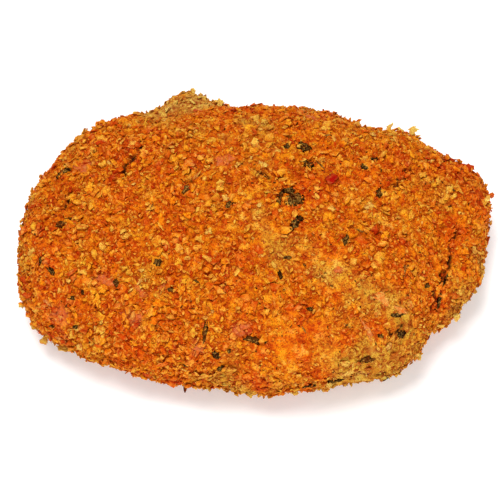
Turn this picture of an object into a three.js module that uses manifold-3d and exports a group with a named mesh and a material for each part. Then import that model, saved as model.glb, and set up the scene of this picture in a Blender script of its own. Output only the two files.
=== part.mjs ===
// A crumbed, stuffed chicken breast: one piece of meat folded round its filling and
// baked whole, lying on its flat underside. Millimetres, +Z up, +X along the length
// towards the thin tail end, +Y towards the back, where the tenderloin flap lifts.
// The origin is under the middle of the part, on the surface that it rests on.
import * as THREE from 'three';
import { mergeVertices } from 'three/addons/utils/BufferGeometryUtils.js';
import Module from 'manifold-3d';

// Driving dimensions of the whole piece.
const LENGTH = 143;
const DEPTH = 95;
const HEIGHT = 36;

// How the skin is worked out.
const FACETS = 21; // splits of each edge of the icosahedron that it starts from
const REACH = 0.75; // how far from the core a ray looks for it, in driving dimensions
const HALVINGS = 24; // of each ray's length
const BLEND = 7; // width of the soft valley where two lobes run together
const SIDE_POWER = 2.3; // 2 is an ellipse seen from the side, more is squarer
const WAIST = 12; // height of the widest line round the side
const FALL = 18; // how far below the waist a lobe would reach if nothing cut it

// The lobes that the meat bulges in, each a rounded mass about the waist: middle, half
// length, half width, rise above the waist, turn about Z in degrees, and how square it
// is from above, where 2 is an ellipse. The small one has a fall of its own.
const LOBES = {
  shoulder: { x: -29, y: -1.5, along: 40, across: 36, rise: 20, turn: -20, square: 2.6 },
  heel: { x: -45, y: -14, along: 24, across: 20, rise: 16, turn: -20, square: 2.4 },
  crown: { x: 0, y: -2, along: 47, across: 43, rise: 24, turn: -4, square: 2.2 },
  pocket: { x: 23, y: -16, along: 32, across: 28, rise: 18, turn: 6, square: 2.5 },
  brow: { x: 30, y: 9.5, along: 32, across: 25, rise: 18, turn: -14, square: 2.5 },
  tail: { x: 51, y: 2, along: 20, across: 23, rise: 14, turn: -10, square: 2.8 },
  tenderloin: { x: -20, y: 37.5, along: 7, across: 8, rise: 7, fall: 11, turn: 25, square: 2 },
};

// Lines that the skin is pressed in or pushed out along, from one point to another. A
// negative depth is a ridge.
const FOLDS = [
  { name: 'tail fold', from: [59, 3, 27], to: [56, -16, 23], width: 6, depth: 2.2 },
  { name: 'pocket ridge', from: [20, -6, 36], to: [42, -20, 31], width: 9, depth: -1.2 },
  { name: 'shoulder fold', from: [-35, 36, 26], to: [-40, 20, 33], width: 6, depth: 1.5 },
  { name: 'edge fold', from: [-52, 20, 29], to: [-58, 6, 28], width: 6, depth: 1.4 },
  { name: 'pocket mouth', from: [14, -47, 12], to: [28, -46, 12], width: 6, depth: 3 },
];

// The gentle unevenness of the meat: waves in the skin, each with the direction that it
// runs in, its length and how far it rises and falls.
const SWELLS = [
  { runs: [0.9, 0.4, 0.2], length: 31, height: 0.3 },
  { runs: [-0.5, 0.8, 0.3], length: 23, height: 0.25 },
  { runs: [0.3, 0.7, 0.6], length: 17, height: 0.15 },
];

const radians = THREE.MathUtils.degToRad;

/** Distance from a lobe's skin, negative inside it, near enough to look for its zero. */
function lobeDistance(p, lobe) {
  const turn = radians(lobe.turn);
  const dx = p.x - lobe.x;
  const dy = p.y - lobe.y;
  const dz = p.z - WAIST;
  const along = Math.abs(dx * Math.cos(turn) + dy * Math.sin(turn)) / lobe.along;
  const across = Math.abs(dy * Math.cos(turn) - dx * Math.sin(turn)) / lobe.across;
  const high = Math.abs(dz) / (dz > 0 ? lobe.rise : (lobe.fall ?? FALL));
  const plan = (along ** lobe.square + across ** lobe.square) ** (1 / lobe.square);
  const whole = (plan ** SIDE_POWER + high ** SIDE_POWER) ** (1 / SIDE_POWER);
  return (whole - 1) * Math.min(lobe.along, lobe.across, lobe.rise);
}

/** The smaller of two distances, with a soft valley between them. */
function softMin(a, b) {
  const mix = THREE.MathUtils.clamp(0.5 + (0.5 * (b - a)) / BLEND, 0, 1);
  return THREE.MathUtils.lerp(b, a, mix) - BLEND * mix * (1 - mix);
}

/** Distance from the skin before its swells and folds, negative inside. */
function meatDistance(p) {
  const distances = Object.values(LOBES).map((lobe) => lobeDistance(p, lobe));
  return distances.reduce((nearest, distance) => softMin(nearest, distance));
}

/** How deep the folds press the skin in at a point on it. */
function foldDepth(p) {
  const nearest = new THREE.Vector3();
  return FOLDS.reduce((depth, fold) => {
    const line = new THREE.Line3(new THREE.Vector3(...fold.from), new THREE.Vector3(...fold.to));
    line.closestPointToPoint(p, true, nearest);
    return depth + fold.depth * Math.exp(-((nearest.distanceTo(p) / fold.width) ** 2));
  }, 0);
}

/** How far the swells lift the skin at a point on it. */
function swellHeight(p) {
  return SWELLS.reduce((lift, swell) => {
    const run = new THREE.Vector3(...swell.runs).normalize().dot(p);
    return lift + swell.height * Math.sin((2 * Math.PI * run) / swell.length);
  }, 0);
}

/** The point where the ray from the core along a vector leaves the meat. */
function castToSkin(core, ray, found) {
  let inside = 0;
  let outside = 1;
  for (let i = 0; i < HALVINGS; i += 1) {
    const middle = (inside + outside) / 2;
    if (meatDistance(found.copy(core).addScaledVector(ray, middle)) < 0) inside = middle;
    else outside = middle;
  }
  return found.copy(core).addScaledVector(ray, inside);
}

/** The skin as a closed mesh: fine facets cast out from the core, swelled and folded. */
function skinGeometry() {
  const ball = new THREE.IcosahedronGeometry(1, FACETS);
  ball.deleteAttribute('normal');
  ball.deleteAttribute('uv');
  const skin = mergeVertices(ball);
  const core = new THREE.Vector3(0, 0, WAIST);
  const reach = new THREE.Vector3(LENGTH, DEPTH, HEIGHT).multiplyScalar(REACH);
  const places = skin.getAttribute('position');
  const ray = new THREE.Vector3();
  const point = new THREE.Vector3();
  for (let i = 0; i < places.count; i += 1) {
    castToSkin(core, ray.fromBufferAttribute(places, i).multiply(reach), point);
    places.setXYZ(i, point.x, point.y, point.z);
  }
  skin.computeVertexNormals();
  const normals = skin.getAttribute('normal');
  for (let i = 0; i < places.count; i += 1) {
    point.fromBufferAttribute(places, i);
    const lift = swellHeight(point) - foldDepth(point);
    point.addScaledVector(ray.fromBufferAttribute(normals, i), lift);
    places.setXYZ(i, point.x, point.y, point.z);
  }
  return skin;
}

const wasm = await Module();
wasm.setup();

/** A three.js geometry as a manifold-3d solid. */
function toSolid(geometry) {
  const bare = geometry.clone();
  bare.deleteAttribute('normal');
  bare.deleteAttribute('uv');
  const merged = mergeVertices(bare);
  return new wasm.Manifold(new wasm.Mesh({
    numProp: 3,
    vertProperties: merged.getAttribute('position').array,
    triVerts: new Uint32Array(merged.index.array),
  }));
}

/** A manifold-3d solid as a three.js geometry. */
function toGeometry(solid) {
  const mesh = solid.getMesh();
  const geometry = new THREE.BufferGeometry();
  geometry.setAttribute('position', new THREE.BufferAttribute(mesh.vertProperties, 3));
  geometry.setIndex(new THREE.BufferAttribute(mesh.triVerts, 1));
  geometry.computeVertexNormals();
  return geometry;
}

/** The skin with everything under the resting surface cut away. */
function breastGeometry() {
  const room = 2 * LENGTH;
  const below = new THREE.BoxGeometry(room, room, room).translate(0, 0, -room / 2);
  return toGeometry(toSolid(skinGeometry()).subtract(toSolid(below)));
}

/** Scales a geometry to the driving dimensions and centres it over the origin. */
function fitted(geometry) {
  geometry.computeBoundingBox();
  const size = geometry.boundingBox.getSize(new THREE.Vector3());
  const middle = geometry.boundingBox.getCenter(new THREE.Vector3());
  geometry.translate(-middle.x, -middle.y, 0);
  geometry.scale(LENGTH / size.x, DEPTH / size.y, HEIGHT / size.z);
  return geometry;
}

const crumb = new THREE.MeshStandardMaterial({
  name: 'baked crumb coat',
  color: new THREE.Color('#cc6a1a'),
  roughness: 0.85,
  metalness: 0,
});

const breast = new THREE.Mesh(fitted(breastGeometry()), crumb);
breast.name = 'crumbed_breast';

const part = new THREE.Group();
part.name = 'stuffed_chicken_breast';
part.add(breast);

export default part;
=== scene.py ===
"""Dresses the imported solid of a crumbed, stuffed chicken breast: its crust, loose crumbs, herbs
and the meat that shows through, on a pale floor in soft light. The numbers are millimetres in
the part's frame, +X towards the tail, +Y towards the back, and become metres in build_piece."""
import math

import bmesh
import bpy
import numpy as np
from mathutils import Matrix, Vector
from mathutils.bvhtree import BVHTree
from mathutils.kdtree import KDTree


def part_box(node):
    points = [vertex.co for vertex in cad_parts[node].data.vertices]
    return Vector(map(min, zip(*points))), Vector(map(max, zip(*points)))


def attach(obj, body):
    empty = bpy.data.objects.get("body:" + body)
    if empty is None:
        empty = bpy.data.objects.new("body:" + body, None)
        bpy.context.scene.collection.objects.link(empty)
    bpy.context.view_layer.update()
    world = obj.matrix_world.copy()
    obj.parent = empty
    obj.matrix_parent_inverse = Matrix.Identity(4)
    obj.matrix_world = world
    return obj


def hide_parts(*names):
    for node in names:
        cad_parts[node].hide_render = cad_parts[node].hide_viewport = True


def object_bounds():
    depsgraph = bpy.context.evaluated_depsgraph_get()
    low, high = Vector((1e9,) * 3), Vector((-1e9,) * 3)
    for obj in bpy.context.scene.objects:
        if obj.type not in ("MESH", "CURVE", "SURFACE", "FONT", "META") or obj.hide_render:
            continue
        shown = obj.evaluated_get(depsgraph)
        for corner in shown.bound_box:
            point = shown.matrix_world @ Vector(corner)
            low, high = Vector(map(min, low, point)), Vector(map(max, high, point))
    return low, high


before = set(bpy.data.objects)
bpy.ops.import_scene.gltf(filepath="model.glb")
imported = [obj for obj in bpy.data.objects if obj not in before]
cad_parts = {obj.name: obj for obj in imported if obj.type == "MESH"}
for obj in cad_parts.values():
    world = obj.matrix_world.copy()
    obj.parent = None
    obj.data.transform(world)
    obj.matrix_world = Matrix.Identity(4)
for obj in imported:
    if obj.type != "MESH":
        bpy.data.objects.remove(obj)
CAD_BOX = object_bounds()

MM = 0.001
BODY = "root"
NODE = "crumbed_breast"
SEED = 41
BAKE_MAP = "OFBake"
TINT = "tint"

# The camera looks steeply down along +Y. What it sees is this wide at the middle of the part.
ELEVATION = 70
LENS = 150
SENSOR = 36
VIEW_WIDTH = 150
AIM_LEFT = 1.1
AIM_LOW = 5.3

TOP = 36.9  # no crumb, lump or flake stands higher than this

# The crust is a net of small faces that follows the solid, lifted into lumps and flakes.
NET = 0.53
CRUST_LUMPS = ((9, 0.2), (5, 0.2), (2.6, 0.14), (1.1, 0.06))  # across, and their rise
CRUST_SUNK = 0.6  # how far under the solid's skin the crust lies where nothing lifts it
CRUST_FOOT = 3  # the crust's relief fades out between this height and the floor
FLAKES = 10000
FLAKE_RISE = (0.05, 0.55)  # at least and at most, as in the next two
FLAKE_TILT = (0.1, 0.36)
FLAKE_NARROWING = (0.4, 2.4)
HIGHEST_FLAKE = 1.1  # however much it is tilted
CLUMP_CORNERS = 11  # of the shards that lumps and standing flakes are made of

# How brown a crumb is, from 0, pale, to 1.2, nearly burnt, as sRGB colours: where paprika oil
# has stained the crust orange, and where it has stayed dry and tan.
ORANGE = (
    (0.0, (206, 169, 80)),
    (0.2, (213, 153, 36)),
    (0.4, (221, 135, 13)),
    (0.6, (217, 104, 5)),
    (0.8, (198, 74, 3)),
    (1.0, (150, 47, 5)),
    (1.2, (96, 28, 5)),
)
TAN = (
    (0.0, (208, 178, 88)),
    (0.4, (201, 149, 42)),
    (0.7, (190, 118, 24)),
    (1.2, (126, 60, 11)),
)
BROWN = 0.46  # of most crumbs
OILED = (-22, -6, 48, 30)  # where the most oil has soaked in: plan x and y, and half widths
MEAT_PINK = (194, 96, 48)
CRACK_SHADE = (50, 22, 7)  # painted shade, a near-black brown, down in the cracks
HIGHLIGHT_PALE = (232, 182, 86)  # painted highlight on tips of crumbs that stand clear of the rest
SPECK = (104, 32, 6)
STAIN = (206, 96, 20)  # of crumb, on the meat
STEM_BROWN = (118, 78, 30)
CHILLI_RED = (156, 7, 2)
SEED_BROWN = (104, 40, 12)
LEAF_SHADES = ((112, 66, 16), (50, 20, 4))  # from little baked to very dark
FLECK_SHADES = ((104, 54, 12), (38, 16, 5))
SMEAR_SHADES = ((214, 152, 66), (200, 116, 58))  # from pale to pink
REDDENING = 3.4  # how much faster green and blue fade than red where less light reaches
CRUST_REDDENING = 2.6  # the same between the flakes of the crust
CRUMB_SHADOW = 0.3  # how much darker the crust is close round the larger crumbs
LARGER = 2  # crumbs of a kind that grows longer than this darken the crust round them

LOWEST_MEAT = 12  # no bare meat shows under this height
LOWEST_TONE = 2  # and no stretch of TONES works under this one

# Cracks and ledges in the crust: name, points near the skin, width and depth.
CRACKS = (
    ("tail fold", ((58.5, -9, 23), (57.5, -12, 23), (56, -18, 22)), 0.6, 1.6),
    ("tail fold end", ((54.8, -20, 22), (55, -25, 20)), 0.55, 1.6),
    ("tail crease", ((60, -2, 24), (59, -8, 23)), 0.4, 0.7),
    ("shoulder fold", ((-34, 26, 28), (-36, 20, 29), (-39, 13, 30)), 0.55, 1.4),
    ("edge fold", ((-55, 10, 25), (-56, 6, 26), (-58, 1, 26)), 0.4, 0.8),
    ("crown nick", ((-20, 14, 34), (-19, 10, 34)), 0.4, 0.8),
    ("ledge", ((1, 13, 34), (4, 12, 34), (8, 12, 34)), 0.4, 0.8),
    ("brow fold", ((42, 9, 29), (44, 13, 28), (47, 18, 27)), 0.4, 0.7),
    ("pocket ledge", ((39, -33, 26), (41, -34, 26), (44, -33, 25)), 0.4, 0.8),
    ("pocket seam", ((10, -47, 14), (20, -47, 14), (30, -45, 14), (38, -42, 13)), 0.6, 1.6),
)

# Meat that shows through the crumb: plan x and y, length, width and turn in degrees.
MEAT = (
    (-51, 18.5, 5, 4, 10),
    (-9, 17, 5.5, 4.2, 20),
    (-43.5, -19.5, 6, 3.2, -12),
    (-35, -30, 6.5, 3.6, -30),
    (-57, -28, 6, 4.6, -50),
    (-4, -34, 5, 3.8, 15),
    (-16, -39, 3.6, 3.2, 0),
    (-26, -22, 2.8, 1.8, 30),
    (-32.5, -23.5, 3.2, 1.8, -50),
    (24.5, -17, 2.4, 1.7, 0),
    (17, 35, 6, 1.5, -30),
)

# Herb leaves: plan x and y, length, width, turn in degrees, and how dark they have baked.
LEAVES = (
    (7.5, 4.5, 5, 1.7, 78, 0.5),
    (10.5, 7, 3.2, 2, 10, 0.9),
    (12.5, 4.5, 5, 3.6, -5, 0.35),
    (10.8, 3.6, 3.4, 2.6, 40, 0.6),
    (15, 22, 4.2, 2.6, -15, 0.6),
    (10, 22, 2, 1.4, 60, 0.9),
    (16, 16, 3.6, 2.4, -40, 0.7),
    (36, 19, 2.1, 1.4, 20, 0.9),
    (33, 16, 2.1, 1.4, -20, 0.9),
    (37, 7, 3.2, 1.6, 80, 0.6),
    (-57, 17, 5.4, 1.6, 33, 0.7),
    (-56, -1, 4.8, 2.3, 22, 0.2),
    (-20, 7, 2.6, 1.6, 50, 0.6),
    (-7, 2, 2.6, 1.6, 60, 0.5),
    (12, -4, 4.6, 1.8, 62, 1),
    (13.5, -2, 2.2, 1.4, -15, 1),
    (27, -8, 3.4, 1.5, 75, 0.8),
    (10, -14, 2, 1, 0, 0.8),
    (-28, -15, 2.4, 1.8, 30, 0.7),
    (-40, -20.5, 3.2, 1.3, 100, 0.6),
    (-59.5, -15.5, 3.4, 1.3, -45, 1),
    (-63, -12, 2.6, 0.9, 80, 1),
    (-53, -24, 1.4, 1.1, 0, 0.8),
    (-50, -22.5, 1.6, 0.8, 90, 0.8),
    (-59.5, -30, 1.4, 1, 0, 0.8),
    (-52, -31.5, 1.8, 1, 30, 0.8),
    (-14, -35, 5, 1.4, 80, 0.4),
    (-11, -41, 3.2, 1.6, -50, 0.9),
    (-7, -40, 1.1, 1, 0, 1),
    (-10, -43.5, 2, 1.4, 60, 0.9),
    (-20, -42.5, 1.8, 0.8, 10, 0.9),
    (-16.5, -21, 1.6, 0.6, -30, 0.9),
    (-24, -23, 1.8, 1.1, -20, 0.7),
    (0, -37, 4.2, 2, -20, 0.4),
    (7.6, -19.5, 3.8, 0.9, 100, 1),
    (16, -29, 1.6, 1.2, 0, 0.9),
    (42, -29, 3.9, 1.2, 0, 1),
    (43, -34, 2.8, 2.1, 60, 1),
    (37, -35, 1.6, 1.2, 0, 0.9),
    (51, -19, 1.7, 1.2, 0, 0.8),
    (56.8, -15.8, 4.8, 0.8, 72, 1),
    (54.9, -22.3, 4.4, 0.9, 93, 1),
    (33, -41, 4, 2, -10, 0.2),
    (38.5, -42.5, 2.6, 1.4, 50, 0.7),
    (16, -46.3, 5, 1.4, 3, 1),
    (24.5, -45.4, 4.2, 1.7, 20, 0.9),
)

# Stems of the herbs: plan x and y, length, width and turn in degrees.
STEMS = (
    (20, 16, 4, 0.5, -52),
    (14.5, -34.5, 2.4, 0.5, -60),
    (44, -16, 3.9, 0.7, 84),
    (22, 26, 2.6, 0.5, 15),
    (-30, 2, 3, 0.5, 70),
    (31, -5, 4.5, 0.5, -20),
)

# Lumps of crumb that show from afar: plan x and y, length, width, turn, and how brown.
LUMPS = (
    (3, 15, 3.8, 2.9, -30, 0),
    (21, 29, 3.8, 2.7, 40, 0.05),
    (54, 12, 2.8, 2, 0, 0.1),
    (58, 11, 3.4, 2.2, -20, 0.05),
    (60, 9, 2.8, 2, 20, 0.1),
    (69, 9, 2.4, 1.8, 0, 0.1),
    (28, -44, 4.6, 2, 25, 0),
    (-10, 7, 3, 2.2, 60, 0.1),
    (-22, -15, 4.4, 3.4, -15, 0.1),
    (-45, 17.5, 3.6, 2.6, -20, 0.1),
    (-44, -22, 3.4, 2.6, 50, 0.2),
    (-45.5, -25, 5.4, 2.2, 100, 0.2),
    (-48.5, 10, 4.4, 3.4, 0, 0.25),
    (-53.5, 7, 3.4, 3, 40, 0.2),
    (-39, 11, 2.8, 2.2, 0, 0.25),
    (-27.5, -2, 3.8, 2.6, 10, 0.3),
    (-23.5, 4, 3, 2.4, 70, 0.35),
    (-19.5, -1, 3, 2.2, 20, 0.35),
    (-20, -21, 3.2, 2, -20, 0.15),
    (-20, -27, 3.4, 1.8, 60, 0.35),
    (-28, -27, 3.2, 2.6, 20, 0.35),
    (-29, -31, 3.2, 2.4, 80, 0.4),
    (-24, -37.5, 3, 2, 30, 0.25),
    (-35, -36, 4.6, 1.8, 30, 0.25),
    (-4, -38.5, 3.2, 2.6, 70, 0.25),
    (4, -26, 3.4, 3, 60, 0.25),
    (-1, -29, 2.8, 2.2, 0, 0.3),
    (18, -21, 2.8, 2.2, 30, 0.25),
    (-1, 29, 4, 3, 10, 0.2),
    (10.5, 31, 3.4, 2.8, 0, 0.2),
    (4, 19, 5.4, 2.6, 20, 0.35),
    (-5, 3.5, 2.6, 2.2, 0, 0.3),
    (2, 10, 2.6, 2.2, 30, 0.2),
    (22, -1.5, 4, 3, -20, 0.3),
    (38.5, -6, 3.2, 2.6, 60, 0.3),
    (28, -6.5, 3.4, 2.2, -30, 0.35),
)

# Smears of pale filling and fat between the crumbs: plan x and y, length, width, turn, and
# how pink.
SMEARS = (
    (37.5, -24.8, 5.5, 2.6, -24, 0),
    (43.5, -27.5, 4, 2, -12, 0.3),
    (33, -33.5, 6.5, 1.6, -65, 0.8),
    (-60.5, -24, 3.2, 0.9, -40, 0.6),
    (-57, -33, 4.4, 0.9, -35, 0.5),
)

# Flakes that stand out from the edge: a point near the skin, length, width and the way they
# point in the plan, in degrees.
STANDING = (
    ((-19, 45.5, 14), 3, 1.8, 90),
    ((-10, 42, 18), 4.4, 2.4, 95),
    ((70, 10, 20), 2.4, 1.4, 20),
    ((48, 32, 20), 4, 2.2, 60),
    ((45, 33, 20), 3, 1.6, 80),
    ((42, 34, 20), 2.8, 1.5, 100),
    ((-70, -22, 12), 3.2, 1.8, 195),
    ((-67, -28, 10), 3.6, 2.4, 215),
    ((-64, -33, 8), 3.4, 2.4, 235),
    ((-59, -37, 8), 4.4, 2.4, 250),
    ((-13.5, -46, 6), 2.8, 1.6, 270),
    ((-1, -47, 9), 3, 2.4, 265),
    ((12.2, -47, 9), 3.2, 2.2, 280),
    ((23.3, -47, 10), 3.8, 2.8, 268),
    ((48, -36, 12), 2.4, 1.6, 300),
    ((60, -24, 12), 2.8, 1.6, 320),
)

# Stretches of a different tone, from one plan point to another: half width, how much
# drier and more tan they are, how much browner, and how much smoother. Where the browner
# stretches run along folds, creases and edges, that browning is painted shade.
TONES = (
    ((24, -19), (44, -29), 5, 1.1, -0.03, 1),
    ((17, -10), (24, -16), 4, 0.5, -0.05, 0.6),
    ((36, -40), (44, -36), 5, 0.7, 0, 0.6),
    ((27, -43), (36, -42), 5, 1.3, -0.05, 0.5),
    ((-30, 37), (-18, 42), 6, 1.5, -0.16, 0.7),
    ((-18, 42), (-14, 40), 3, 0.7, 0, 0.3),
    ((-71, -4), (-68, 14), 4, 0.8, 0, 0.6),
    ((62, -18), (68, -10), 5, 0.8, 0, 0.4),
    ((50, 13), (62, 10), 4, 0.6, -0.05, 0.2),
    ((-6, 10), (2, 16), 4, 0.5, -0.05, 0.3),
    ((-10, 26), (0, 31), 5, 0.5, -0.03, 0.5),
    ((2, -2), (8, -14), 4, 0.8, -0.06, 0.7),
    ((2, -24), (6, -28), 4, 0.3, -0.06, 0.3),
    ((20, 0), (26, 2), 4, 0.3, -0.08, 0.2),
    ((47, -4), (50, -10), 3, 0.3, -0.06, 0.2),
    ((-33, -7), (-30, -6), 2.5, 0.7, -0.03, 0.8),
    ((-68, 18), (-56, 30), 3, 0.4, 0, 0.3),
    ((18, 31), (34, 31), 4, 0.5, 0, 0.3),
    ((-35, 27), (-41, 14), 3, -0.3, 0.12, 0),
    ((43, 22), (44, 14), 3, 0, 0.12, 0),
    ((61, 0), (55, -22), 3, -0.2, 0.14, 0),
    ((63, 20), (70, 4), 4, 0, 0.18, 0),
    ((6, -36), (20, -34), 6, 0, 0.07, 0.8),
    ((0, -42), (22, -42), 6, 0.1, 0.05, 0.7),
    ((22, 11), (25, 11), 3, -0.3, 0.14, 0.3),
    ((-9, 37), (-2, 35), 3, 0, 0.2, 0),
    ((-40, -36), (-26, -42), 4, -0.2, 0.1, 0),
    ((-62, -8), (-58, -30), 5, 0, 0.1, 0.6),
)

# Where the coat is thicker than elsewhere: plan x and y, half width, and how much thicker,
# or thinner where that is below 0.
COAT = (
    (47, 31, 7, 1.2),
    (59, 25, 6, -0.8),
    (28, 38, 8, -0.9),
    (-37, 37.5, 7, 1.3),
    (-46, 36, 5, -0.9),
    (-67, 9, 9, 1.3),
    (-72, -15, 8, -1.5),
    (-65.5, -29, 5, 1.4),
    (-32.5, -44.5, 8, 1.2),
    (7, -48, 7, 1),
    (39, -42, 6, 1.2),
    (45, -39, 5, 0.9),
    (54, -30, 4, -1.3),
    (59.5, -24, 5, 1.4),
    (65, -17, 5, 0.9),
)

CHILLI = (22.7, 10.8, 3.8, 3, 25)  # as a row of MEAT
CARAWAY = ((-20.9, -47, 6), 3.6, 1.1, 269)  # as a row of STANDING



# --- fields and colours


def linear(colour):
    """An sRGB colour of 0 to 255 as linear light."""
    part = np.asarray(colour, float) / 255
    return np.where(part <= 0.04045, part / 12.92, ((part + 0.055) / 1.055) ** 2.4)


def blend(share, first, second):
    """Mixes two colours, or rows of them, by the share of the second."""
    return (1 - share) * first + share * second


def between(shades, share):
    """Linear colours so far on the way from the first of two sRGB colours to the second."""
    first, second = shades
    return blend(share, linear(first), linear(second))


def unit(vectors):
    return vectors / np.maximum(np.linalg.norm(vectors, axis=-1, keepdims=True), 1e-12)


def headings(degrees):
    """Level unit vectors that point so many degrees round from +X."""
    turns = np.radians(degrees)
    return np.stack([np.cos(turns), np.sin(turns), 0 * turns], 1)


def ripples(points, across, seed):
    """A smooth random field of about unit spread, whose lumps are about so far across."""
    waves = 24
    rng = np.random.default_rng(seed)
    ways = unit(rng.normal(size=(waves, 3)))
    lengths = across * rng.uniform(1.3, 2.9, waves)
    starts = rng.uniform(0, 2 * math.pi, waves)
    turns = points @ (ways * (2 * math.pi / lengths)[:, None]).T + starts
    return np.sin(turns).sum(1) * math.sqrt(2 / waves)


def ramp(stops, values):
    """Linear colours along a ramp of sRGB colours."""
    places = [place for place, _ in stops]
    shades = np.array([linear(colour) for _, colour in stops])
    return np.stack([np.interp(values, places, shades[:, i]) for i in range(3)], 1)


def tones(points):
    """How much drier, browner and smoother than the rest the food is at each point. Along
    folds, creases and edges the browner share is painted shade.
    """
    change = np.zeros((3, len(points)))
    for start, end, half_width, *amounts in TONES:
        start = np.array(start, float)
        run = np.array(end, float) - start
        share = np.clip((points[:, :2] - start) @ run / (run @ run), 0, 1)
        gap = np.linalg.norm(points[:, :2] - start - share[:, None] * run, axis=1)
        near = np.exp(-((gap / half_width) ** 2)) * (points[:, 2] > LOWEST_TONE)
        change += near * np.array(amounts)[:, None]
    return change


def meat_nearness(points):
    """1 over the patches of bare meat, and 0 away from them."""
    near = np.zeros(len(points))
    wander = 1 + 0.4 * ripples(points, 1.4, 31)
    for x, y, length, width, turn in MEAT:
        angle = math.radians(turn)
        dx, dy = points[:, 0] - x, points[:, 1] - y
        along = (dx * math.cos(angle) + dy * math.sin(angle)) / (length / 2)
        across = (dy * math.cos(angle) - dx * math.sin(angle)) / (width / 2)
        inside = np.exp(-(((along**2 + across**2) * wander) ** 2))
        inside *= points[:, 2] > LOWEST_MEAT
        near = np.maximum(near, inside)
    return near


def crumb_colours(rng, points, normals, brown, vary):
    """Colours for crumbs at these places: patchy, browner by so much, with painted shade
    where TONES browns folds, creases and edges, and varied at random.
    """
    side = np.clip(0.6 - normals[:, 2], 0, 1)
    x, y, half_x, half_y = OILED
    oiled = np.exp(-(((points[:, 0] - x) / half_x) ** 2) - ((points[:, 1] - y) / half_y) ** 2)
    drier, browner, _ = tones(points)
    toast = vary * rng.normal(size=len(points))
    brown = brown + BROWN + 0.05 * ripples(points, 2.2, 11) + 0.05 * ripples(points, 7, 12)
    # TONES browning: partly real, partly painted shade along folds, creases and edges.
    brown += browner - 0.06 * side + 0.02 * oiled + 0.9 * toast
    dry = 0.25 * ripples(points, 4.5, 14) + 0.2 * ripples(points, 14, 15) - 0.15 - 0.8 * oiled
    dry += drier + 0.5 * side + 0.06 * rng.normal(size=len(points))
    dry = np.clip(dry, 0, 1)[:, None]
    tints = blend(dry, ramp(ORANGE, brown), ramp(TAN, brown))
    pink = 0.6 * meat_nearness(points)[:, None]
    return shaded_low(blend(pink, tints, linear(MEAT_PINK)), 1 - toast)


def shaded_low(tints, light, reddening=REDDENING):
    """Tints by how much light reaches them: what lies in a gap is darker, and redder, and
    what stands clear of the rest, with a light over 1, is paler."""
    low = np.clip(light, 0.05, 1)[..., None]
    pale = np.clip(1.4 * (light - 1.04), 0, 0.5)[..., None]
    shaded = tints * np.concatenate([low, low**reddening, low**reddening], -1)
    return blend(pale, shaded, linear(HIGHLIGHT_PALE))


# --- the skin


def even_net():
    """The solid's mesh as an even net of small faces, with a flat sheet underneath."""
    holder = bpy.data.objects.new("net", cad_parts[NODE].data.copy())
    bpy.context.scene.collection.objects.link(holder)
    weld = holder.modifiers.new("weld", "WELD")
    weld.merge_threshold = 0.002 * MM
    net = holder.modifiers.new("net", "REMESH")
    net.mode = "VOXEL"
    net.voxel_size = NET * MM
    smooth = holder.modifiers.new("smooth", "SMOOTH")
    smooth.factor = 0.5
    smooth.iterations = 4
    shape = holder.evaluated_get(bpy.context.evaluated_depsgraph_get())
    mesh = bpy.data.meshes.new_from_object(shape)
    bpy.data.objects.remove(holder)
    flatten_underside(mesh)
    return mesh


def flatten_underside(mesh):
    """Puts one flat sheet of large faces in place of the small ones underneath."""
    sheet = bmesh.new()
    sheet.from_mesh(mesh)
    low = 0.4 * NET * MM
    under = [face for face in sheet.faces if all(v.co.z < low for v in face.verts)]
    bmesh.ops.delete(sheet, geom=under, context="FACES")
    rim = [edge for edge in sheet.edges if edge.is_boundary]
    for edge in rim:
        for vert in edge.verts:
            vert.co.z = 0
    bmesh.ops.holes_fill(sheet, edges=rim, sides=0)
    bmesh.ops.triangulate(sheet, faces=sheet.faces[:])
    sheet.to_mesh(mesh)
    sheet.free()


def read_all(items, count, name):
    found = np.empty(count * 3, np.float32)
    items.foreach_get(name, found)
    return found.reshape(-1, 3).astype(float)


def tree_of(points):
    tree = KDTree(len(points))
    for i, point in enumerate(points):
        tree.insert(point, i)
    tree.balance()
    return tree


class Skin:
    """The net in millimetres, as it was and as it is lifted, and what is laid on it."""

    def __init__(self, mesh):
        count = len(mesh.vertices)
        self.points = read_all(mesh.vertices, count, "co") / MM
        self.normals = read_all(mesh.vertex_normals, count, "vector")
        faces = np.empty(len(mesh.polygons) * 3, np.int32)
        mesh.polygons.foreach_get("vertices", faces)
        self.faces = faces.reshape(-1, 3)
        self.surface = self.points.copy()
        self.crack = np.zeros(count)
        self.bare = meat_nearness(self.points)
        self.smooth = np.clip(tones(self.points)[2], 0, 1)
        self.tree = BVHTree.FromPolygons(self.points.tolist(), self.faces.tolist())
        self.corners = tree_of(self.points)
        self.light = np.ones(count)
        self.layers = []
        self.crumbs = []
        self.top = None

    def nearest(self, point):
        """The corner of the net that is nearest to a point."""
        return self.corners.find(Vector(point))[1]

    def below(self, x, y):
        """The corner of the net under a point of the plan."""
        hit = self.tree.ray_cast(Vector((x, y, 100)), Vector((0, 0, -1)))[0]
        return self.nearest(hit if hit is not None else (x, y, 10))

    def settle(self):
        """Readies the search for the top of everything laid so far."""
        starts = np.cumsum([0] + [len(points) for points, _ in self.layers])
        points = np.vstack([points for points, _ in self.layers])
        faces = np.vstack([f + start for (_, f), start in zip(self.layers, starts)])
        self.top = BVHTree.FromPolygons(points.tolist(), faces.tolist())

    def top_at(self, point, normal):
        """Where a line into the skin meets the top of what has been laid."""
        start = Vector(point) + 5 * Vector(normal)
        hit = self.top.ray_cast(start, -Vector(normal), 9)[0]
        return np.array(hit if hit is not None else point)

    def tops(self, corners):
        """The top of what has been laid, over some corners of the net."""
        pairs = zip(self.points[corners], self.normals[corners])
        return np.array([self.top_at(point, normal) for point, normal in pairs])


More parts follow.
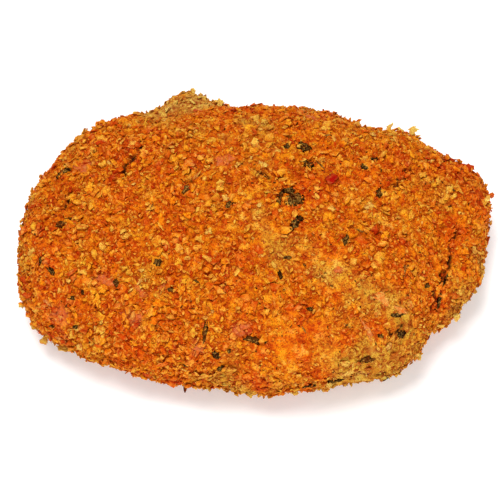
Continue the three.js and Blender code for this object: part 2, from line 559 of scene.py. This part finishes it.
def crack_lines(skin, rng):
    """Points along each crack, snapped to the skin and wandering a little, with its size."""
    lines = []
    for _, path, width, depth in CRACKS:
        path = np.array(path, float)
        steps = np.linspace(0, len(path) - 1, 14 * (len(path) - 1) + 1)
        line = np.stack([np.interp(steps, range(len(path)), path[:, i]) for i in range(3)], 1)
        line[:, :2] += 0.6 * np.stack([ripples(line, 1.6, rng.integers(999)) for _ in "xy"], 1)
        snapped = [skin.tree.find_nearest(Vector(point))[0] for point in line]
        lines.append((np.array(snapped, float), width, depth))
    return lines


def crack_depth(points, lines):
    """How deep the cracks are at each point, and how near it is to one, from 0 to 1."""
    depth = np.zeros(len(points))
    near = np.zeros(len(points))
    ragged = np.clip(0.75 + 0.6 * ripples(points, 1.6, 32), 0.1, 1)
    for line, width, deep in lines:
        for start in range(0, len(points), 20000):
            part = slice(start, start + 20000)
            gap = np.linalg.norm(points[part, None] - line[None], axis=2).min(1)
            shut = ragged[part] * np.exp(-((gap / width) ** 2))
            depth[part] = np.maximum(depth[part], deep * shut)
            near[part] = np.maximum(near[part], shut)
    return depth, near


def thicker_by(points):
    """How much thicker than elsewhere the coat is at each point."""
    extra = np.zeros(len(points))
    for x, y, half_width, more in COAT:
        gap = np.hypot(points[:, 0] - x, points[:, 1] - y)
        extra += more * np.exp(-((gap / half_width) ** 2))
    return extra


def flake_coat(skin, rng):
    """Overlapping flakes, each tilted its own way: how high they stand at each corner of the
    net, and which one is on top there."""
    picked = rng.choice(len(skin.points), FLAKES, replace=False)
    centres = skin.points[picked]
    radii = 0.6 + 1.4 * rng.uniform(0, 1, FLAKES) ** 2
    heights = rng.uniform(*FLAKE_RISE, FLAKES) + 0.15 * (radii - 1)
    tilts = rng.normal(size=(FLAKES, 3)) * rng.uniform(*FLAKE_TILT, (FLAKES, 1))
    narrow = unit(rng.normal(size=(FLAKES, 3))) * rng.uniform(*FLAKE_NARROWING, (FLAKES, 1))
    tree = tree_of(centres)
    close = np.array([[i for _, i, _ in tree.find_n(point, 8)] for point in skin.points])
    away = skin.points[:, None] - centres[close]
    reach = (away**2).sum(2) + (away * narrow[close]).sum(2) ** 2
    reach *= np.maximum(1 + 0.4 * ripples(skin.points, 0.7, 33), 0.2)[:, None]
    lift = heights[close] + (away * tilts[close]).sum(2)
    lift = np.where(reach < radii[close] ** 2, lift, 0)
    best = lift.argmax(1)
    rows = np.arange(len(best))
    return np.clip(lift[rows, best], 0, HIGHEST_FLAKE), close[rows, best]


# --- meshes


def build_piece(name, points, faces, tints, places, material, smooth=False):
    """Makes a piece of the food from arrays: corners, faces, colours and its bake map."""
    mesh = bpy.data.meshes.new(name)
    mesh.from_pydata((points * MM).tolist(), [], faces.tolist())
    colours = mesh.color_attributes.new(TINT, "FLOAT_COLOR", "POINT")
    opaque = np.ones((len(points), 1))
    colours.data.foreach_set("color", np.hstack([tints, opaque]).astype(np.float32).ravel())
    layer = mesh.uv_layers.new(name=BAKE_MAP)
    layer.uv.foreach_set("vector", places.astype(np.float32).ravel())
    if smooth:
        mesh.shade_smooth()
    mesh.materials.append(material)
    piece = bpy.data.objects.new(name, mesh)
    bpy.context.scene.collection.objects.link(piece)
    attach(piece, BODY)
    return piece


def ball(splits):
    """The corners and faces of an icosahedron, split so many times less one."""
    shape = bmesh.new()
    bmesh.ops.create_icosphere(shape, subdivisions=splits, radius=1)
    points = np.array([vert.co for vert in shape.verts], float)
    faces = np.array([[vert.index for vert in face.verts] for face in shape.faces])
    shape.free()
    return points, faces


def shard_faces(corners):
    """The faces of a shard: its top's middle, an inner ring, its outline and a low point."""
    faces = []
    low = 2 * corners + 1
    for i in range(corners):
        inner, inner_next = 1 + i, 1 + (i + 1) % corners
        rim, rim_next = inner + corners, inner_next + corners
        faces += [(0, inner, inner_next), (inner, rim, rim_next), (inner, rim_next, inner_next)]
        faces.append((low, rim_next, rim))
    return np.array(faces)


def shards(rng, count, corners, full=(0.25, 0.85)):
    """Torn shards of crumb: a jagged outline round an uneven top, bent along its length.
    full is how much of the outline the top fills, at least and at most."""
    step = 2 * math.pi / corners
    turns = step * (np.arange(corners) + rng.uniform(-0.45, 0.45, (count, corners)))
    reach = rng.uniform(0.4, 1.0, (count, corners))
    flat = np.stack([np.cos(turns), np.sin(turns)], 2)
    rim = np.dstack([flat * reach[..., None], rng.uniform(-0.8, 0.3, reach.shape)])
    held = reach * rng.uniform(*full, reach.shape)
    inner = np.dstack([flat * held[..., None], rng.uniform(0.0, 1.0, reach.shape)])
    top = np.dstack([rng.uniform(-0.3, 0.3, (count, 1, 2)), rng.uniform(0.3, 1, (count, 1))])
    low = np.tile([0.0, 0.0, -1.0], (count, 1, 1))
    forms = np.hstack([top, inner, rim, low])
    curl = 0.5 * rng.normal(size=(count, 1))
    forms[..., 2] += curl * forms[..., 0] ** 2
    return forms


def scraps(rng, points, count, ragged, frayed):
    """Thin scraps: flattened balls with an uneven and frayed outline."""
    around = np.arctan2(points[:, 1], points[:, 0])
    outline = 1 + frayed * rng.normal(size=(count, len(points)))
    for lobes in range(2, 10):
        starts = rng.uniform(0, 2 * math.pi, (count, 1))
        outline += ragged * np.sin(lobes * around + starts) / math.sqrt(lobes)
    forms = np.repeat(points[None], count, 0)
    forms[..., :2] *= np.maximum(outline, 0.3)[..., None]
    return forms


def axes_on(rng, normals, ways, tip):
    """For each thing its length, width and up axes, as columns, tipped off the normal."""
    up = unit(normals + tip * rng.normal(size=normals.shape))
    along = unit(ways - (ways * up).sum(1, keepdims=True) * up)
    return np.stack([along, np.cross(up, along), up], 2)


def lay_out(forms, sizes, axes, centres):
    """Scales the forms and turns them to their axes, between the floor and the top."""
    laid = np.einsum("cvk,cjk->cvj", forms * (sizes / 2)[:, None], axes) + centres[:, None]
    laid[..., 2] = laid[..., 2].clip(0, TOP)
    return laid


def atlas(forms, faces):
    """A bake map that gives each thing a square of its own, seen along its up axis."""
    count = len(forms)
    across = math.ceil(math.sqrt(count))
    low = forms[..., :2].min(1, keepdims=True)
    span = np.maximum(np.ptp(forms[..., :2], axis=1, keepdims=True), 1e-9)
    margin = 0.08
    inside = margin + (1 - 2 * margin) * (forms[..., :2] - low) / span
    cells = np.stack([np.arange(count) % across, np.arange(count) // across], 1)
    places = (cells[:, None] + inside) / across
    return places[:, faces].reshape(-1, 2)


def build_things(name, forms, laid, faces, tints, material, smooth=False):
    """Makes one piece of many things alike, and gives back its corners and faces."""
    steps = np.arange(len(laid)) * laid.shape[1]
    all_faces = (steps[:, None, None] + faces).reshape(-1, 3)
    points = laid.reshape(-1, 3)
    build_piece(name, points, all_faces, tints, atlas(forms, faces), material, smooth)
    return points, all_faces


def toned(rng, laid, normals, tints, dark, spread):
    """A colour for each corner: its thing's tint by the light there, which is dark next to
    the skin, 1 well away from it, and varied at random by spread."""
    high = np.einsum("cvk,ck->cv", laid, normals)
    low = high.min(1, keepdims=True)
    share = (high - low) / np.maximum(np.ptp(high, axis=1)[:, None], 1e-9)
    share = np.minimum(1.6 * share, 1)
    light = (dark + (1 - dark) * share) * (1 + spread * rng.normal(size=share.shape))
    return shaded_low(tints[:, None], light).reshape(-1, 3)


def spaced(points, order, gap, count):
    """Up to count of the points, in a given order, no two nearer than gap."""
    kept = []
    cells = {}
    steps = [(dx, dy, dz) for dx in (-1, 0, 1) for dy in (-1, 0, 1) for dz in (-1, 0, 1)]
    for i in order:
        x, y, z = (points[i] // gap).astype(int).tolist()
        near = [j for dx, dy, dz in steps for j in cells.get((x + dx, y + dy, z + dz), ())]
        if near and ((points[near] - points[i]) ** 2).sum(1).min() < gap * gap:
            continue
        cells.setdefault((x, y, z), []).append(i)
        kept.append(i)
        if len(kept) == count:
            break
    return np.array(kept)


# --- materials


class Nodes:
    """A Principled material and short ways to add nodes to it."""

    def __init__(self, name, shine):
        self.material = bpy.data.materials.new(name)
        self.material.use_nodes = True
        self.tree = self.material.node_tree
        self.shader = self.tree.nodes["Principled BSDF"]
        self.shader.inputs["Specular IOR Level"].default_value = shine
        self.place = self.tree.nodes.new("ShaderNodeTexCoord").outputs["Object"]

    def add(self, kind, values, links, operation=None):
        """A new node, with values for some inputs and links into others."""
        node = self.tree.nodes.new(kind)
        if operation:
            node.operation = operation
        for name, value in values.items():
            node.inputs[name].default_value = value
        for name, output in links.items():
            self.tree.links.new(output, node.inputs[name])
        return node

    def noise(self, across, detail=3):
        """A noise whose lumps are so many millimetres across."""
        values = {"Scale": 1 / (across * MM), "Detail": detail, "Roughness": 0.6}
        return self.add("ShaderNodeTexNoise", values, {"Vector": self.place}).outputs["Fac"]

    def spread(self, value, low, high, start=0.3, end=0.7):
        """A value from start to end, where noise mostly lies, spread from low to high."""
        values = {"From Min": start, "From Max": end, "To Min": low, "To Max": high}
        return self.add("ShaderNodeMapRange", values, {"Value": value}).outputs["Result"]

    def tint(self):
        node = self.tree.nodes.new("ShaderNodeAttribute")
        node.attribute_name = TINT
        return node.outputs["Color"]

    def shaded(self, colour, value):
        """A colour made lighter or darker by a value."""
        links = {0: colour, "Scale": value}
        return self.add("ShaderNodeVectorMath", {}, links, "SCALE").outputs["Vector"]

    def toasted(self, colour, value):
        """A colour made lighter or darker by a value, and redder where it is darker."""
        fade = self.add("ShaderNodeMath", {1: REDDENING}, {0: value}, "POWER").outputs["Value"]
        parts = self.add("ShaderNodeCombineXYZ", {}, {"X": value, "Y": fade, "Z": fade})
        links = {0: colour, 1: parts.outputs["Vector"]}
        return self.add("ShaderNodeVectorMath", {}, links, "MULTIPLY").outputs["Vector"]

    def mixed(self, share, first, second):
        """Two colours mixed by a share. The second is an sRGB colour."""
        node = self.tree.nodes.new("ShaderNodeMix")
        node.data_type = "RGBA"
        self.tree.links.new(share, node.inputs["Factor"])
        self.tree.links.new(first, node.inputs["A"])
        node.inputs["B"].default_value = (*linear(second), 1)
        return node.outputs["Result"]

    def colour(self, value):
        self.tree.links.new(value, self.shader.inputs["Base Color"])

    def roughness(self, value):
        self.tree.links.new(value, self.shader.inputs["Roughness"])

    def bump(self, value, height):
        """Relief of so many millimetres between 0 and 1 of a value."""
        node = self.add("ShaderNodeBump", {"Distance": height * MM}, {"Height": value})
        self.tree.links.new(node.outputs["Normal"], self.shader.inputs["Normal"])


def crumb_material(name, shine=0.045, flecks=0.45, grain=0.17):
    """Baked breadcrumb: its tint, grained, with toasted specks and a dry surface."""
    nodes = Nodes(name, shine)
    light = nodes.spread(nodes.noise(0.35), 1 - grain, 1 + grain)
    grained = nodes.toasted(nodes.tint(), light)
    specks = nodes.spread(nodes.noise(0.5, detail=2), 0, flecks, 0.55, 0.66)
    nodes.colour(nodes.mixed(specks, grained, SPECK))
    nodes.roughness(nodes.spread(nodes.noise(1.6), 0.6, 0.85))
    nodes.bump(nodes.noise(0.4, detail=4), 0.2)
    return nodes.material


def herb_material():
    """Dried herb: its tint, mottled from nearly black to lighter, with a dry surface."""
    nodes = Nodes("herb", 0.02)
    nodes.colour(nodes.shaded(nodes.tint(), nodes.spread(nodes.noise(0.9), 0.15, 1.9)))
    nodes.roughness(nodes.spread(nodes.noise(0.8), 0.6, 0.9))
    nodes.bump(nodes.noise(0.3, detail=4), 0.2)
    return nodes.material


def meat_material(name="meat", low=0.38, high=0.6, stain=0.9, shine=0.08):
    """Cooked meat, or what is as moist: mottled, and stained by the crumb."""
    nodes = Nodes(name, shine)
    mottled = nodes.toasted(nodes.tint(), nodes.spread(nodes.noise(0.8, detail=4), 0.84, 1.14))
    stains = nodes.spread(nodes.noise(1.1, detail=3), 0, stain, 0.46, 0.6)
    nodes.colour(nodes.mixed(stains, mottled, STAIN))
    nodes.roughness(nodes.spread(nodes.noise(1.2), low, high))
    nodes.bump(nodes.noise(0.5, detail=4), 0.35)
    return nodes.material


# --- crust and crumbs


def bake_disc(skin):
    """A bake map of the skin: seen down its middle and unrolled to one disc, with the
    underside in a corner of its own."""
    low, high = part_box(NODE)
    half = np.array([high.x - low.x, high.y - low.y]) / 2 / MM
    tall = (high.z - low.z) / MM
    plan = skin.points[:, :2] / half
    centre = 0.25  # height that the angles are taken from, as a share of the whole
    lowest = math.radians(112)  # angle from straight up to the foot of the sides
    fall = np.arctan2(np.linalg.norm(plan, axis=1), skin.points[:, 2] / tall - centre)
    radius = 0.49 * np.minimum(fall / lowest, 1)
    places = (0.5 + unit(plan) * radius[:, None])[skin.faces]
    under = (skin.points[skin.faces][..., 2] <= 0).all(1)
    places[under] = 0.07 + 0.06 * plan[skin.faces[under]]
    return places.reshape(-1, 2)


def lift_crust(skin):
    """Lifts skin.surface into the lumps, flakes and cracks of the crust, and sets skin.light:
    low between the flakes, and a little different on each."""
    rng = np.random.default_rng(SEED)
    lift = np.full(len(skin.points), -CRUST_SUNK)
    for i, (across, rise) in enumerate(CRUST_LUMPS):
        lift += rise * ripples(skin.points, across, 20 + i)
    flakes, flake = flake_coat(skin, rng)
    deep, skin.crack = crack_depth(skin.points, crack_lines(skin, rng))
    lift += flakes * (1 - 0.6 * skin.bare) * (1 - 0.7 * skin.smooth) - deep
    lift += thicker_by(skin.points)
    lift *= np.clip(skin.points[:, 2] / CRUST_FOOT, 0, 1)
    skin.surface = skin.points + lift[:, None] * skin.normals
    skin.surface[:, 2] = np.maximum(skin.surface[:, 2], 0)
    skin.surface[skin.points[:, 2] <= 0, 2] = 0
    skin.light = 0.78 + 0.26 * np.clip(flakes / 0.4, 0, 1) ** 0.7
    skin.light *= 1 + 0.1 * rng.normal(size=FLAKES)[flake]
    skin.layers.append((skin.surface, skin.faces))


def crumb_nearness(skin):
    """1 for the crust under and close round the larger crumbs, and 0 well away from them."""
    centres = np.vstack([centres for centres, _ in skin.crumbs])
    reach = np.concatenate([reach for _, reach in skin.crumbs])
    tree = tree_of(centres)
    found = [tree.find(point)[1:] for point in skin.surface]
    gap = np.array([distance / reach[i] for i, distance in found])
    return np.clip((1.25 - gap) / 0.4, 0, 1)


def make_crust(skin, coat):
    """The crumb coat itself, which stands for the solid, with painted shade round the crumbs
    on it and in its cracks.
    """
    rng = np.random.default_rng(SEED + 7)
    tints = crumb_colours(rng, skin.points, skin.normals, 0, 0.03)
    light = skin.light * (1 - CRUMB_SHADOW * crumb_nearness(skin))
    # Painted shade: the crust darkens to a near-black brown in and near the cracks.
    crack_shade = np.clip(1.4 * skin.crack, 0, 1)[:, None]
    tints = blend(crack_shade, shaded_low(tints, light, CRUST_REDDENING), linear(CRACK_SHADE))
    crust = build_piece(
        "crumb_crust", skin.surface, skin.faces, tints, bake_disc(skin), coat,
    )
    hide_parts(NODE)


def scatter(skin, rng, count, gap, weight):
    """Corners of the net for loose things: none low down or in cracks, and fewer on meat."""
    chance = weight * (skin.points[:, 2] > 0.8) * (skin.crack < 0.3) * (1 - 0.4 * skin.bare)
    tries = min(5 * count, int((chance > 0).sum()))
    order = rng.choice(len(chance), tries, replace=False, p=chance / chance.sum())
    return spaced(skin.points, order, gap, count)


def make_crumbs(
    skin, name, corners, count, material, *, seed, gap, long, sink, weight=1, brown=0,
    full=(0.25, 0.85), wide=(0.4, 0.95), thick=(0.2, 0.5), tip=0.4, stand=0,
):
    """Loose crumbs of one kind, spread over the crust: shards with so many corners.

    weight is how likely each corner of the net is to hold one, gap how far apart they lie at
    least, long their shortest and longest, wide and thick their width and thickness as
    shares of that, full how much of its outline a shard's top fills, tip how far they lean,
    sink how much of their thickness is in the crust, stand how much of their length is
    lifted out of it, and brown how much browner they are than most.
    """
    rng = np.random.default_rng(seed)
    spots = scatter(skin, rng, count, gap, weight)
    normals = skin.normals[spots]
    count = len(spots)
    forms = shards(rng, count, corners, full)
    lengths = rng.uniform(*long, count)
    widths = lengths * rng.uniform(*wide, count)
    heights = lengths * rng.uniform(*thick, count)
    axes = axes_on(rng, normals, rng.normal(size=(count, 3)), tip)
    centres = skin.surface[spots] + axes[:, :, 2] * (heights * (0.5 - sink))[:, None]
    centres += normals * (lengths * stand)[:, None]
    laid = lay_out(forms, np.stack([lengths, widths, heights], 1), axes, centres)
    tints = crumb_colours(rng, skin.points[spots], normals, brown, vary=0.11)
    tints = toned(rng, laid, normals, tints, dark=0.6, spread=0.18)
    faces = shard_faces(corners)
    skin.layers.append(build_things(name, forms, laid, faces, tints, material))
    if long[1] > LARGER:
        skin.crumbs.append((centres, np.sqrt(lengths * widths) / 2))


def make_all_crumbs(skin, coat, pale):
    """Every kind of loose crumb. The first three are fewer on the smooth stretches, the
    coarsest are thickest towards the broad end, and rim flakes lie mostly down the sides."""
    toasted = crumb_material("browned crumb", shine=0.1, flecks=0.8)
    rim = np.clip(0.75 - skin.normals[:, 2], 0.02, 1)
    rough = 1 - 0.93 * skin.smooth
    lumpy = rough * (1 + 0.4 * np.clip(-skin.points[:, 0] / 40, -1, 1))
    make_crumbs(
        skin, "coarse_crumbs", 9, 2500, coat, weight=lumpy,
        seed=SEED + 1, gap=1.3, long=(1.8, 4.8), sink=0.1, brown=-0.07, tip=0.4,
        thick=(0.15, 0.34), full=(0.45, 0.9),
    )
    make_crumbs(
        skin, "medium_crumbs", 7, 6800, coat, weight=rough,
        seed=SEED + 2, gap=0.8, long=(1.1, 3.1), sink=0.34, tip=0.6, brown=-0.01,
        wide=(0.35, 0.75), thick=(0.18, 0.4),
    )
    make_crumbs(
        skin, "fine_crumbs", 4, 8500, coat, weight=1 - 0.7 * skin.smooth,
        seed=SEED + 3, gap=0.45, long=(0.6, 1.3), sink=0.3, tip=0.7, thick=(0.3, 0.7),
    )
    make_crumbs(
        skin, "pale_crumbs", 8, 180, pale,
        seed=SEED + 4, gap=2.6, long=(1.2, 2.6), sink=0.1, brown=-0.2,
    )
    make_crumbs(
        skin, "browned_crumbs", 6, 900, toasted,
        seed=SEED + 5, gap=1.4, long=(0.6, 1.4), sink=0.2, brown=0.22,
    )
    make_crumbs(
        skin, "rim_flakes", 9, 700, pale,
        seed=SEED + 6, gap=1.5, long=(1.2, 2.8), sink=0.3, brown=-0.1, thick=(0.12, 0.3),
        tip=1.2, stand=0.15, weight=rim,
    )


# --- things laid one by one


def drape(skin, laid, centres, normals, cling):
    """Lets thin things follow the tops of the crumbs under them, by a share."""
    for thing, centre, normal in zip(laid, centres, normals):
        tops = np.array([skin.top_at(point, normal) for point in thing])
        rise = ((tops - centre) @ normal).clip(-1.2, 1.2)
        thing += (cling * rise + (1 - cling) * rise.mean())[:, None] * normal


def make_scraps(
    skin, name, rows, colours, material, *, seed, thick, ragged, cling, rise, dark,
    spread, splits=3, frayed=0.05, rim=0,
):
    """Thin, ragged things laid one by one: each row starts with plan x and y, length, width
    and turn.

    splits is how finely they are meshed, thick how thick they are, ragged and frayed how
    uneven their outline is, cling how closely they follow the crumbs, rise how far above
    the tops of those they lie, dark and spread as in toned, and rim how much darker their
    edges are.
    """
    rng = np.random.default_rng(seed)
    points, faces = ball(splits)
    corners = np.array([skin.below(row[0], row[1]) for row in rows])
    ways = headings([row[4] for row in rows])
    normals = skin.normals[corners]
    forms = scraps(rng, points, len(rows), ragged, frayed)
    sizes = np.array([(row[2], row[3], thick) for row in rows])
    centres = skin.tops(corners)
    laid = lay_out(forms, sizes, axes_on(rng, normals, ways, 0), centres)
    drape(skin, laid, centres, normals, cling)
    laid += rise * normals[:, None]
    laid[..., 2] = np.maximum(laid[..., 2], 0)
    tints = toned(rng, laid, normals, colours, dark, spread)
    edges = 1 - rim * (points[:, :2] ** 2).sum(1)
    tints *= np.tile(edges, len(rows))[:, None]
    build_things(name, forms, laid, faces, tints, material, smooth=True)


def make_leaves(skin, herb):
    """The herb leaves and stems that show from afar."""
    colours = between(LEAF_SHADES, np.array([row[5] for row in LEAVES])[:, None])
    make_scraps(
        skin, "herb_leaves", LEAVES, colours, herb, seed=SEED + 20,
        thick=0.3, ragged=0.2, cling=0.6, rise=0.16, dark=0.6, spread=0.3, splits=4,
        frayed=0.1, rim=0.4,
    )
    make_scraps(
        skin, "herb_stems", STEMS, linear([STEM_BROWN]), herb, seed=SEED + 21,
        thick=0.4, ragged=0.03, cling=0.4, rise=0.1, dark=0.5, spread=0.15,
    )


def make_patches(skin):
    """Bare meat between the crumbs, and pale smears of filling and fat pressed among them."""
    make_scraps(
        skin, "bare_meat", MEAT, linear([MEAT_PINK]), meat_material(), seed=SEED + 22,
        splits=4, thick=0.5, ragged=0.26, cling=0.6, rise=0, dark=0.8, spread=0.1,
    )
    colours = between(SMEAR_SHADES, np.array([row[5] for row in SMEARS])[:, None])
    make_scraps(
        skin, "pale_smears", SMEARS, colours, meat_material("pale smear"),
        seed=SEED + 27, splits=4, thick=0.5, ragged=0.26, cling=0.6, rise=0.1, dark=0.85,
        spread=0.1,
    )


def make_chilli(skin):
    """A scrap of dried chilli skin."""
    material = meat_material("chilli skin", low=0.4, high=0.6, stain=0.15, shine=0.03)
    make_scraps(
        skin, "chilli_fleck", [CHILLI], linear([CHILLI_RED]), material, seed=SEED + 23,
        thick=0.8, ragged=0.14, cling=0.3, rise=0.75, dark=0.7, spread=0.12,
    )


def make_flecks(skin, herb):
    """Ground herb and pepper, scattered all over and thickest on the tail's half."""
    rng = np.random.default_rng(SEED + 24)
    tail_half = skin.points[:, 0] > 0
    spots = scatter(skin, rng, count=620, gap=1.3, weight=1 + 1.4 * tail_half)
    normals = skin.normals[spots]
    count = len(spots)
    forms = shards(rng, count, 6)
    long = (0.4 + rng.gamma(2.2, 0.34, count)).clip(0.5, 2.4)
    wide = (long * rng.uniform(0.25, 0.8, count)).clip(0.35, 1)
    axes = axes_on(rng, normals, rng.normal(size=(count, 3)), 0.3)
    sizes = np.stack([long, wide, np.full(count, 0.35)], 1)
    laid = lay_out(forms, sizes, axes, skin.tops(spots))
    colours = between(FLECK_SHADES, rng.uniform(0, 1, (count, 1)) ** 0.5)
    tints = toned(rng, laid, normals, colours, dark=0.8, spread=0.1)
    build_things("herb_flecks", forms, laid, shard_faces(6), tints, herb)


def clump(rng, middles, axes, sizes, ups, full, tip):
    """A few shards for each thing, strewn over an ellipse of its size. ups holds the way up
    of each shard, full is as in shards and tip as in axes_on."""
    count = len(ups)
    each = count // len(middles)
    reach = np.sqrt(rng.uniform(0, 1, count)) / 4
    turn = rng.uniform(0, 2 * math.pi, count)
    high = rng.uniform(-0.2, 0.2, count)
    spread = np.stack([reach * np.cos(turn), reach * np.sin(turn), high], 1)
    axes = np.repeat(axes, each, 0)
    sizes = np.repeat(sizes, each, 0)
    centres = np.repeat(middles, each, 0) + np.einsum("cjk,ck->cj", axes, spread * sizes)
    ways = np.einsum("cjk,ck->cj", axes, rng.normal(size=(count, 3)))
    sizes = sizes * rng.uniform(0.55, 0.95, (count, 1))
    forms = shards(rng, count, CLUMP_CORNERS, full)
    return forms, lay_out(forms, sizes, axes_on(rng, ups, ways, tip), centres)


def make_lumps(skin, pale):
    """The lumps of crumb that show from afar, each a few shards stuck together."""
    rng = np.random.default_rng(SEED + 25)
    each, tall, rise = 5, 1.6, 0.15
    spots = np.array([skin.below(row[0], row[1]) for row in LUMPS])
    sizes = np.array([(row[2], row[3], tall) for row in LUMPS])
    axes = axes_on(rng, skin.normals[spots], headings([row[4] for row in LUMPS]), 0.1)
    middles = skin.tops(spots) + rise * skin.normals[spots]
    normals = np.repeat(skin.normals[spots], each, 0)
    forms, laid = clump(rng, middles, axes, sizes, normals, full=(0.45, 0.9), tip=0.2)
    brown = np.repeat([row[5] for row in LUMPS], each) + rng.uniform(0.04, 0.16, len(laid))
    tan = np.clip(0.6 - 2.5 * brown, 0, 1)[:, None]
    brighter = 1.1
    colours = brighter * blend(tan, ramp(ORANGE, brown), ramp(TAN, brown))
    tints = toned(rng, laid, normals, colours, dark=0.65, spread=0.08)
    faces = shard_faces(CLUMP_CORNERS)
    build_things("crumb_lumps", forms, laid, faces, tints, pale)


def outward(skin, rows):
    """For things at the edge: the corner where the skin is nearest, and the way out."""
    corners = np.array([skin.nearest(row[0]) for row in rows])
    return corners, headings([row[3] for row in rows])


def make_standing_flakes(skin, pale):
    """Flakes that stand out from the edge, each a few shards stuck together."""
    rng = np.random.default_rng(SEED + 26)
    each, tall = 4, 0.7
    spots, ways = outward(skin, STANDING)
    sizes = np.array([(row[1], row[2], tall) for row in STANDING])
    ups = np.repeat([(0.0, 0.0, 1.0)], len(STANDING), 0)
    axes = axes_on(rng, ups, ways, 0.2)
    middles = skin.surface[spots] + 0.3 * sizes[:, :1] * ways
    ups = np.repeat(ups, each, 0)
    forms, laid = clump(rng, middles, axes, 1.25 * sizes, ups, full=(0.25, 0.85), tip=0.4)
    # The tan is their own colour; raising it by this much is painted light, for the shade at the
    # edge.
    brighter = 1.2
    colours = brighter * ramp(TAN, rng.uniform(0.0, 0.3, len(laid)))
    tints = toned(rng, laid, ups, colours, dark=0.8, spread=0.06)
    faces = shard_faces(CLUMP_CORNERS)
    build_things("standing_flakes", forms, laid, faces, tints, pale)


def make_seed(skin, herb):
    """A caraway seed that pokes out of the front edge."""
    _, length, width, _ = CARAWAY
    points, faces = ball(3)
    corners, ways = outward(skin, [CARAWAY])
    forms = points[None].copy()
    forms[..., 1:] *= 1 - 0.35 * forms[..., :1] ** 2
    axes = axes_on(np.random.default_rng(SEED), np.array([(0.0, 0.0, 1.0)]), ways, 0)
    centre = skin.surface[corners] + 0.32 * length * ways
    laid = lay_out(forms, np.array([(length, width, width)]), axes, centre)
    tints = np.repeat(linear([SEED_BROWN]), len(points), 0)
    build_things("caraway_seed", forms, laid, faces, tints, herb, smooth=True)


def make_food():
    """The crust and all that is on it. The crust's relief comes first, and its mesh after the
    crumbs, which darken it."""
    skin = Skin(even_net())
    coat = crumb_material("crumb coat")
    pale = crumb_material("pale crumb", flecks=0.2)
    herb = herb_material()
    lift_crust(skin)
    skin.settle()
    make_patches(skin)
    make_all_crumbs(skin, coat, pale)
    make_crust(skin, crumb_material("crumb crust", flecks=0.8, grain=0.16))
    skin.settle()
    make_lumps(skin, pale)
    make_standing_flakes(skin, pale)
    make_leaves(skin, herb)
    make_flecks(skin, herb)
    make_chilli(skin)
    make_seed(skin, herb)


# --- floor, light and camera


def middle():
    low, high = CAD_BOX
    return (Vector(low) + Vector(high)) / 2


def make_floor():
    """A wide, pale floor just under the food."""
    mesh = bpy.data.meshes.new("floor")
    half = 3.0
    low = -0.02 * MM
    corners = [(-half, -half, low), (half, -half, low), (half, half, low), (-half, half, low)]
    mesh.from_pydata(corners, [], [(0, 1, 2, 3)])
    nodes = Nodes("floor", 0.1)
    nodes.shader.inputs["Base Color"].default_value = (0.93, 0.93, 0.93, 1)
    nodes.shader.inputs["Roughness"].default_value = 0.9
    nodes.shader.inputs["Emission Color"].default_value = (1, 1, 1, 1)
    nodes.shader.inputs["Emission Strength"].default_value = 0.12
    mesh.materials.append(nodes.material)
    floor = bpy.data.objects.new("floor", mesh)
    bpy.context.scene.collection.objects.link(floor)


def add_light(name, place, size, watts):
    """A square soft light at a place in metres, aimed at the food."""
    light = bpy.data.lights.new(name, "AREA")
    light.size = size
    light.energy = watts
    lamp = bpy.data.objects.new(name, light)
    lamp.location = place
    lamp.rotation_euler = (middle() - Vector(place)).to_track_quat("-Z", "Y").to_euler()
    bpy.context.scene.collection.objects.link(lamp)


def make_light():
    """A key light from above and behind, a fill from the front, and an even white world."""
    add_light("key", place=(-0.15, 0.25, 0.95), size=0.45, watts=8.3)
    add_light("fill", place=(0.25, -0.95, 0.4), size=0.7, watts=6.8)
    world = bpy.data.worlds.new("studio")
    world.use_nodes = True
    world.node_tree.nodes["Background"].inputs["Color"].default_value = (1, 1, 1, 1)
    world.node_tree.nodes["Background"].inputs["Strength"].default_value = 0.54
    bpy.context.scene.world = world


def make_camera():
    """A long lens steeply above the front of the food."""
    tilt = math.radians(ELEVATION)
    back = Vector((0, -math.cos(tilt), math.sin(tilt)))
    up = Vector((0, math.sin(tilt), math.cos(tilt)))
    aim = middle() - Vector((AIM_LEFT * MM, 0, 0)) - up * AIM_LOW * MM
    camera = bpy.data.objects.new("camera", bpy.data.cameras.new("camera"))
    camera.data.lens = LENS
    camera.data.sensor_width = SENSOR
    camera.data.clip_start = 0.01
    camera.location = aim + back * VIEW_WIDTH * MM * LENS / SENSOR
    camera.rotation_euler = (-back).to_track_quat("-Z", "Y").to_euler()
    bpy.context.scene.collection.objects.link(camera)
    bpy.context.scene.camera = camera


make_camera()
make_light()
make_floor()
make_food()
bpy.context.scene.view_settings.view_transform = "Standard"
